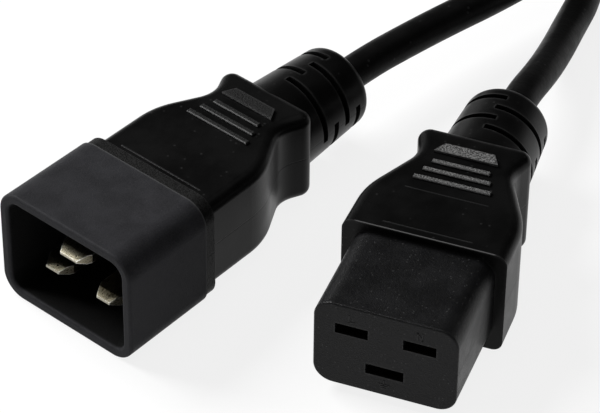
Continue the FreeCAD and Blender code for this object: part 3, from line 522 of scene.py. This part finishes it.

# %% [markdown]
# ## The soft overmould
# Both ends are covered by the same soft black plastic. It is satin on the flat faces, and paler
# along its edges, partly as wear from handling and partly as painted highlight. It is spark
# eroded where fingers grip, on the ribs and the plate behind them, whose tops are painted paler
# and grainy as glints of light, and whose forward faces get a tone of their own, painted for
# how the light falls on them. On the plug the band behind the shroud is spark eroded too, and
# duller than the rest. The fine lines across the tops are painted paler as highlights, and a
# thin pale line is painted along the socket's front edge as a highlight. One recipe makes
# both, with the places that differ as its values, because two copies of such a graph soon drift
# apart.

# %% Recipe for the overmould
def overmould(title, origin, angle, deck, seam, lines, grip_glint_grey, forward_face_light, band=None,
              highlight_line=None):
    """Soft black plastic; deck is where ribs start; lines, and the pale line painted as a highlight
    along the front edge, are (place, reach).
    """
    made, tree, shader = new_finish(title)
    place, facing = use(tree, place_group, Origin=origin, Angle=angle)
    split = put(tree, "ShaderNodeSeparateXYZ", {0: place}).outputs
    grain = use(tree, grain_group, Place=place, Size=0.3)["Grain"]
    clouds = use(tree, grain_group, Place=place, Size=9.0)["Grain"]
    specks = use(tree, speck_group, Place=place, Pitch=1.4, Share=0.25)["Specks"]
    outer_edge = use(tree, edge_group, Reach=0.0007)["Outer Edge"]
    joint = use(tree, seam_group, Place=place, Facing=facing, Level=seam)["Seam"]
    grip = slope(tree, split[2], deck + 0.05, deck + 0.3)
    ring = 0.0
    if band:
        ring = calc(tree, "MULTIPLY", slope(tree, split[1], band[0] - 0.1, band[0]),
                    slope(tree, split[1], band[1], band[1] - 0.1))
    drawn = [use(tree, cross_line_group, Place=place, Facing=facing, Along=along,
                 Reach=reach)["Line"] for along, reach in lines]
    thin = drawn[0]
    for other in drawn[1:]:
        thin = calc(tree, "MAXIMUM", thin, other)
    deep, faded, matt, dust, wear_and_highlight_grey, parting, pale = (
        grey(level) for level in (0.0018, 0.0032, 0.0045, 0.05, 0.03, 0.001, 0.09))
    colour = tint(tree, clouds, deep, faded)
    colour = tint(tree, calc(tree, "MULTIPLY", specks, 0.25), colour, dust)
    colour = tint(tree, calc(tree, "MULTIPLY", ring, slope(tree, grain, 0.3, 0.9)), colour, matt)
    # Painted highlight: the grip tops are painted paler and grainy, as glints of light on the spark
    # eroded grain.
    colour = tint(tree, calc(tree, "MULTIPLY", grip, slope(tree, grain, 0.2, 0.8, 0.15, 1.0)),
                  colour, grey(grip_glint_grey, 0.01))
    # Painted highlight and wear: outer edges are painted paler, less on the plug's band.
    edge_wear_and_highlight = calc(tree, "MULTIPLY", outer_edge, slope(tree, ring, 0.0, 1.0, 0.5, 0.05))
    colour = tint(tree, edge_wear_and_highlight, colour, wear_and_highlight_grey)
    # Painted light and shade: on the grip, faces that look forward get a tone of their own, darker
    # on the socket and paler on the plug.
    front = slope(tree, put(tree, "ShaderNodeSeparateXYZ", {0: facing}).outputs[1], -0.2, -0.7)
    colour = tint(tree, calc(tree, "MULTIPLY", front, grip), colour, grey(forward_face_light))
    # Painted highlight: the lines across the top are painted paler as well, as light caught on
    # their raised ridge.
    colour = tint(tree, calc(tree, "MULTIPLY", thin, 0.45), colour, wear_and_highlight_grey)
    # Painted highlight: a pale line along the top of the socket's front edge.
    if highlight_line:
        rim = use(tree, cross_line_group, Place=place, Facing=facing, Along=highlight_line[0],
                  Reach=highlight_line[1], Least_Upward=0.4)["Line"]
        colour = tint(tree, rim, colour, pale)
    colour = tint(tree, joint, colour, parting)
    rough = calc(tree, "ADD", slope(tree, clouds, 0, 1, 0.3, 0.37), calc(
        tree, "MAXIMUM", calc(tree, "MULTIPLY", grip, 0.2), calc(tree, "MULTIPLY", ring, 0.06)))
    height = calc(tree, "MULTIPLY", grain, slope(tree, calc(tree, "MAXIMUM", grip, ring), 0, 1,
                                                 0.1, 1.0))
    height = calc(tree, "SUBTRACT", calc(tree, "ADD", height, thin),
                  calc(tree, "MULTIPLY", joint, 4.0))
    bump = put(tree, "ShaderNodeBump", {"Height": height, "Distance": 0.00006, "Strength": 1.0})
    tree.links.new(colour, shader.inputs["Base Color"])
    tree.links.new(rough, shader.inputs["Roughness"])
    gloss = slope(tree, ring, 0.0, 1.0, 0.11, 0.06)
    tree.links.new(gloss, shader.inputs["Specular IOR Level"])
    tree.links.new(bump.outputs[0], shader.inputs["Normal"])
    return made


def dress(finish, *names):
    """Puts a finish on fixed parts, in the slots that they came with."""
    for name in names:
        for slot in parts[name].material_slots:
            slot.material = finish
    print(finish.name, "on", ", ".join(names))


print("recipe: overmould")

# %% Overmoulds of both ends
on_plug = ((plug_rim.x * MM, plug_rim.y * MM, 0), -plug_turn)    # its own zero and turn
on_socket = ((0, 0, 0), 0.0)
# The socket gets a pale highlight line painted along its front edge.
socket_soft = overmould("soft_black_socket", *on_socket, deck=22.9, seam=socket_mid,
                        lines=[(face_y + 33.6, 8.1), (face_y + 22.7, 8.6)], grip_glint_grey=0.17,
                        forward_face_light=0.08, highlight_line=(face_y + 21.05, 13.5))
plug_soft = overmould("soft_black_plug", *on_plug, deck=22.5, seam=plug_rim.z,
                      lines=[(26.3, 10.0)], grip_glint_grey=0.012, forward_face_light=0.13,
                      band=(21.0, 23.7))
dress(socket_soft, "c19_overmould")
dress(plug_soft, "c20_overmould")

# %% [markdown]
# ## The hard plastics
# The socket's nose and the plug's shroud are glass filled nylon. It is harder and duller than
# the overmould, and fibres near the surface give it a fine pale fleck. The shroud is greyer than
# the nose, and its inside is painted nearly black, as the shade in its hollow. Outer edges are
# painted paler, partly as wear and partly as highlight. The fleck could be real bumps, but at a
# tenth of a millimetre colour does as well.

# %% Recipe for the nylon parts
no_seam = -50.0                                   # a level under the table never shows


def nylon(title, origin, angle, seam, shade, cloudy, fleck, rough, gloss, shaded_hollow=None):
    """Flecked hard plastic; the last value sizes a hollow, half width, half height and middle
    height, whose inside is painted dark as shade.
    """
    made, tree, shader = new_finish(title, Specular_IOR_Level=gloss)
    place, facing = use(tree, place_group, Origin=origin, Angle=angle)
    grain = use(tree, grain_group, Place=place, Size=0.28)["Grain"]
    clouds = use(tree, grain_group, Place=place, Size=5.0)["Grain"]
    specks = use(tree, speck_group, Place=place, Pitch=0.8, Share=0.4)["Specks"]
    outer_edge = use(tree, edge_group, Reach=0.0006)["Outer Edge"]
    joint = use(tree, seam_group, Place=place, Facing=facing, Level=seam,
                Half_Width=0.1)["Seam"]
    colour = tint(tree, clouds, grey(shade * (1 - cloudy), -0.12),
                  grey(shade * (1 + cloudy), -0.12))
    colour = tint(tree, calc(tree, "MULTIPLY", grain, fleck), colour, grey(shade * 3))
    colour = tint(tree, calc(tree, "MULTIPLY", specks, fleck), colour, grey(0.08))
    # Painted shade: inside the hollow the colour goes nearly black, as the shade in it.
    if shaded_hollow:
        split = put(tree, "ShaderNodeSeparateXYZ", {0: place}).outputs
        half_wide, half_high, middle = shaded_hollow
        beside = calc(tree, "SUBTRACT", calc(tree, "ABSOLUTE", split[0]), half_wide)
        above = calc(tree, "SUBTRACT", calc(tree, "ABSOLUTE", calc(
            tree, "SUBTRACT", split[2], middle)), half_high)
        painted_hollow_shade = calc(tree, "MULTIPLY", slope(tree, calc(tree, "MAXIMUM", beside, above), 0.5, 0.2),
                      slope(tree, split[1], 0.3, 1.0))
        colour = tint(tree, painted_hollow_shade, colour, grey(0.01))
    # Painted highlight and wear: outer edges are painted paler.
    colour = tint(tree, calc(tree, "MULTIPLY", outer_edge, 0.5), colour, grey(0.02 + 3.5 * shade))
    colour = tint(tree, calc(tree, "MULTIPLY", joint, 0.8), colour, grey(0.002))
    bump = put(tree, "ShaderNodeBump", {"Height": calc(tree, "SUBTRACT", calc(
        tree, "MULTIPLY", grain, 0.5), joint), "Distance": 0.00005, "Strength": 1.0})
    tree.links.new(colour, shader.inputs["Base Color"])
    tree.links.new(slope(tree, clouds, 0, 1, rough, rough + 0.08), shader.inputs["Roughness"])
    tree.links.new(bump.outputs[0], shader.inputs["Normal"])
    return made


nose_nylon = nylon("flecked_nose_nylon", *on_socket, seam=socket_mid, shade=0.0046, cloudy=0.35,
                   fleck=0.45, rough=0.32, gloss=0.12)
shroud_nylon = nylon("dull_shroud_nylon", *on_plug, seam=no_seam, shade=0.0205, cloudy=0.16,
                     fleck=0.16, rough=0.4, gloss=0.03, shaded_hollow=(14.45, 10.4, plug_rim.z))
dress(nose_nylon, "c19_contact_carrier", "c19_carrier_cover")
dress(shroud_nylon, "c20_shroud")
for mark in (line_mark, neutral_mark, earth_mark):
    mark.data.materials.append(nose_nylon)

# %% [markdown]
# ## Metal
# The plug's pins are brass with a nickel plate, drawn along their length and rubbed by every
# outlet they have been in. The contacts inside the socket are bare brass strip. The plate could
# be a clear coat over brass, but it is so thick that plain metal in its colour looks the same.
# Only the colour, the roughness and fine drawing lines change over the surface.

# %% Recipe for drawn metal
def drawn_metal(title, origin, angle, clean, dull, rough):
    """Metal with fine lines along Y, stained from clean to dull and bright on its edges."""
    made, tree, shader = new_finish(title, Metallic=1.0)
    place = use(tree, place_group, Origin=origin, Angle=angle)["Place"]
    stretched = put(tree, "ShaderNodeVectorMath", {0: place, 1: (6.0, 0.35, 6.0)},
                    operation="MULTIPLY").outputs[0]
    lines = use(tree, grain_group, Place=stretched, Size=1.0)["Grain"]
    stain = use(tree, grain_group, Place=place, Size=2.2)["Grain"]
    outer_edge = use(tree, edge_group, Reach=0.0003)["Outer Edge"]
    colour = tint(tree, calc(tree, "MULTIPLY", stain, 0.6), clean, dull)
    colour = tint(tree, calc(tree, "MULTIPLY", outer_edge, 0.8), colour, grey(0.75, 0.03))
    bump = put(tree, "ShaderNodeBump", {"Height": lines, "Distance": 0.000001, "Strength": 0.3})
    tree.links.new(colour, shader.inputs["Base Color"])
    tree.links.new(slope(tree, lines, 0, 1, rough, rough + 0.12), shader.inputs["Roughness"])
    tree.links.new(bump.outputs[0], shader.inputs["Normal"])
    return made


pin_metal = drawn_metal("plated_pin_metal", *on_plug, clean=(0.31, 0.285, 0.21, 1),
                        dull=(0.26, 0.23, 0.16, 1), rough=0.26)
contact_metal = drawn_metal("brass_contact_strip", *on_socket, clean=(0.72, 0.55, 0.27, 1),
                            dull=(0.5, 0.36, 0.16, 1), rough=0.3)
dress(pin_metal, "c20_line_pin", "c20_neutral_pin", "c20_earth_pin")
dress(contact_metal, "c19_line_contact", "c19_neutral_contact", "c19_earth_contact")

# %% [markdown]
# ## The cord's jacket
# The jacket is extruded, so its grain has no flecks and no seam: a satin skin with a faint
# unevenness where the cores press through, and a little dust. The unevenness could be real
# waves in the tube, but it is too low to change the outline, so a bump carries it.

# %% Jacket finish
jacket, tree, shader = new_finish("satin_cord_jacket", Specular_IOR_Level=0.055)
place = use(tree, place_group, Origin=(0, 0, 0), Angle=0.0)["Place"]
grain = use(tree, grain_group, Place=place, Size=0.25)["Grain"]
clouds = use(tree, grain_group, Place=place, Size=5.0)["Grain"]
specks = use(tree, speck_group, Place=place, Pitch=1.8, Share=0.2)["Specks"]
colour = tint(tree, clouds, grey(0.003), grey(0.0045))
colour = tint(tree, calc(tree, "MULTIPLY", specks, 0.3), colour, grey(0.05))
bump = put(tree, "ShaderNodeBump", {"Height": calc(tree, "ADD", calc(
    tree, "MULTIPLY", grain, 0.15), clouds), "Distance": 0.00006, "Strength": 0.8})
tree.links.new(colour, shader.inputs["Base Color"])
tree.links.new(slope(tree, clouds, 0, 1, 0.36, 0.45), shader.inputs["Roughness"])
tree.links.new(bump.outputs[0], shader.inputs["Normal"])
cord.data.materials.append(jacket)
dress(jacket, "c19_jacket_end", "c20_jacket_end", "c19_lead", "c20_lead", "cord_coil")

# %% [markdown]
# ## The strap's fabric
# A hook and loop strap is a mat of tiny loops with a woven edge. Real loops would be thousands
# of hairs that nobody sees, so the mat is a field of small cells that stand up as bumps. The
# edge is told apart by how far it lies from the strap's middle line.

# %% Strap finish
fabric, tree, shader = new_finish("loop_strap_fabric", Specular_IOR_Level=0.2,
                                  Sheen_Weight=0.1, Sheen_Roughness=0.5)
place = use(tree, place_group, Origin=(0, coil_middle[1] * MM, 0), Angle=0.0)["Place"]
loops = put(tree, "ShaderNodeTexVoronoi", {"Vector": place, "Scale": 1.8}).outputs["Distance"]
across = calc(tree, "ABSOLUTE", put(tree, "ShaderNodeSeparateXYZ", {0: place}).outputs[1])
edge = slope(tree, across, 4.9, 5.1)
weave = put(tree, "ShaderNodeTexWave", {"Vector": place, "Scale": 1.1, "Distortion": 0.4},
            bands_direction="DIAGONAL").outputs["Fac"]
height = put(tree, "ShaderNodeMix", {0: edge, 2: loops, 3: weave}, data_type="FLOAT").outputs[0]
colour = tint(tree, slope(tree, loops, 0.1, 0.6), grey(0.009), grey(0.022))
colour = tint(tree, calc(tree, "MULTIPLY", edge, 0.7), colour, grey(0.007))
bump = put(tree, "ShaderNodeBump", {"Height": height, "Distance": 0.0003, "Strength": 0.8})
tree.links.new(colour, shader.inputs["Base Color"])
tree.links.new(slope(tree, loops, 0.0, 0.6, 0.75, 0.95), shader.inputs["Roughness"])
tree.links.new(bump.outputs[0], shader.inputs["Normal"])
strap.data.materials.append(fabric)
dress(fabric, "coil_tie")

# %% [markdown]
# ## What the mouldings hide
# Cores, conductors and the inner moulds are sealed in. They could be left plain, but the model
# may be cut open, so they get honest finishes too: bunched copper wires that twist round each
# rod, dyed insulation with a soft gloss, and a plain grey inner mould.

# %% Recipe for the hidden plastics
def hidden_plastic(title, first, second, stripes=False, rough=0.4):
    """Plain plastic between two colours, in stripes or in faint clouds."""
    made, tree, shader = new_finish(title, Specular_IOR_Level=0.4)
    place = use(tree, place_group, Origin=(0, 0, 0), Angle=0.0)["Place"]
    grain = use(tree, grain_group, Place=place, Size=0.4)["Grain"]
    clouds = use(tree, grain_group, Place=place, Size=3.0)["Grain"]
    share = calc(tree, "MULTIPLY", clouds, 0.5)
    if stripes:
        turn = put(tree, "ShaderNodeTexWave", {"Vector": place, "Scale": 0.12},
                   bands_direction="DIAGONAL").outputs["Fac"]
        share = slope(tree, turn, 0.62, 0.66)
    bump = put(tree, "ShaderNodeBump", {"Height": grain, "Distance": 0.00003, "Strength": 0.6})
    tree.links.new(tint(tree, share, first, second), shader.inputs["Base Color"])
    tree.links.new(slope(tree, grain, 0, 1, rough, rough + 0.1), shader.inputs["Roughness"])
    tree.links.new(bump.outputs[0], shader.inputs["Normal"])
    return made


inner = hidden_plastic("grey_inner_mould", grey(0.1), grey(0.14), rough=0.55)
brown = hidden_plastic("brown_insulation", (0.2, 0.09, 0.045, 1), (0.26, 0.12, 0.06, 1))
blue = hidden_plastic("blue_insulation", (0.06, 0.19, 0.55, 1), (0.09, 0.24, 0.64, 1))
striped = hidden_plastic("striped_insulation", (0.13, 0.45, 0.1, 1), (0.8, 0.7, 0.06, 1),
                         stripes=True)
for end in ("c19", "c20"):
    dress(inner, f"{end}_inner_mould")
    dress(brown, f"{end}_line_core")
    dress(blue, f"{end}_neutral_core")
    dress(striped, f"{end}_earth_core")

# %% Bunched copper
copper, tree, shader = new_finish("bunched_copper_wires", Metallic=1.0)
place = use(tree, place_group, Origin=(0, 0, 0), Angle=0.0)["Place"]
wires = put(tree, "ShaderNodeTexWave", {"Vector": place, "Scale": 1.2, "Distortion": 0.3},
            bands_direction="DIAGONAL", wave_profile="SIN").outputs["Fac"]
stain = use(tree, grain_group, Place=place, Size=1.5)["Grain"]
bump = put(tree, "ShaderNodeBump", {"Height": wires, "Distance": 0.0001, "Strength": 1.0})
tree.links.new(tint(tree, stain, (0.8, 0.42, 0.26, 1), (0.6, 0.27, 0.15, 1)),
               shader.inputs["Base Color"])
tree.links.new(slope(tree, wires, 0, 1, 0.35, 0.22), shader.inputs["Roughness"])
tree.links.new(bump.outputs[0], shader.inputs["Normal"])
dress(copper, *[f"{end}_{wire}_conductor" for end in ("c19", "c20")
                for wire in ("line", "neutral", "earth")])

# %% [markdown]
# ## The table
# Black plastic shows what it mirrors, so its surroundings matter more than its lamps. The first
# of them is a white table, which the sides mirror and the tops do not. Lamps alone could light
# it, but black things darken it all round them. So most of what the camera and mirrored rays
# see of it is plain white light, and the rest is the lit surface, which keeps a faint shadow
# under the cord and both ends.

# %% The table
bpy.ops.mesh.primitive_grid_add(x_subdivisions=8, y_subdivisions=8, size=6)
table = bpy.context.object
table.name = "studio_table"
table_paper, tree, shader = new_finish("white_table_paper", Roughness=0.7)
place = put(tree, "ShaderNodeTexCoord").outputs["Object"]
mottle = put(tree, "ShaderNodeTexNoise", {"Vector": place, "Scale": 30.0}).outputs[0]
tree.links.new(tint(tree, mottle, grey(0.92), grey(0.95)), shader.inputs["Base Color"])
seen = put(tree, "ShaderNodeLightPath").outputs
plain = put(tree, "ShaderNodeEmission", {"Color": grey(1.0), "Strength": 1.0})
share = calc(tree, "MULTIPLY", calc(tree, "MAXIMUM", seen["Is Camera Ray"], calc(
    tree, "MAXIMUM", seen["Is Glossy Ray"], seen["Is Transmission Ray"])), 0.84)
both = put(tree, "ShaderNodeMixShader", {0: share, 1: shader.outputs[0], 2: plain.outputs[0]})
tree.links.new(both.outputs[0], tree.nodes["Material Output"].inputs["Surface"])
table.data.materials.append(table_paper)
print("table ready")

# %% [markdown]
# ## The room
# Over the table the room is dark, so that the tops stay black. A white band low down hides
# where the table stops. It could be a bent backdrop, but a world whose colour follows only the
# height of a direction is the same from every side.

# %% The room
room = bpy.data.worlds.new("studio_room")
scene.world = room
room.use_nodes = True
tree = room.node_tree
height = put(tree, "ShaderNodeSeparateXYZ",
             {0: put(tree, "ShaderNodeTexCoord").outputs["Generated"]}).outputs[2]
tree.links.new(tint(tree, slope(tree, height, 0.05, 0.2), grey(0.9), grey(0.03)),
               tree.nodes["Background"].inputs["Color"])
print("room ready")

# %% [markdown]
# ## The lamps
# A soft box on the left and a little behind does most of the work: it lifts the tops, and the
# rounded edges on the far side fall into shade, which shows their form. A wide one overhead
# fills in. Both are large for so small a thing, because small lamps would make hard spots on
# the satin plastic.

# %% Two soft boxes
def soft_lamp(name, place, wide, watts):
    """A square soft box at a place in metres, aimed at the two ends."""
    data = bpy.data.lights.new(name, "AREA")
    data.size = wide
    data.energy = watts
    lamp = bpy.data.objects.new(name, data)
    lamp.location = place
    lamp.rotation_euler = (Vector(place) - aim).to_track_quat("Z", "Y").to_euler()
    scene.collection.objects.link(lamp)
    return lamp


key = soft_lamp("key_box", (-0.8, 0.15, 0.72), wide=0.5, watts=17.5)
fill = soft_lamp("overhead_box", (0.1, 0.1, 1.2), wide=1.0, watts=2.0)
print("lamps:", key.name, fill.name)
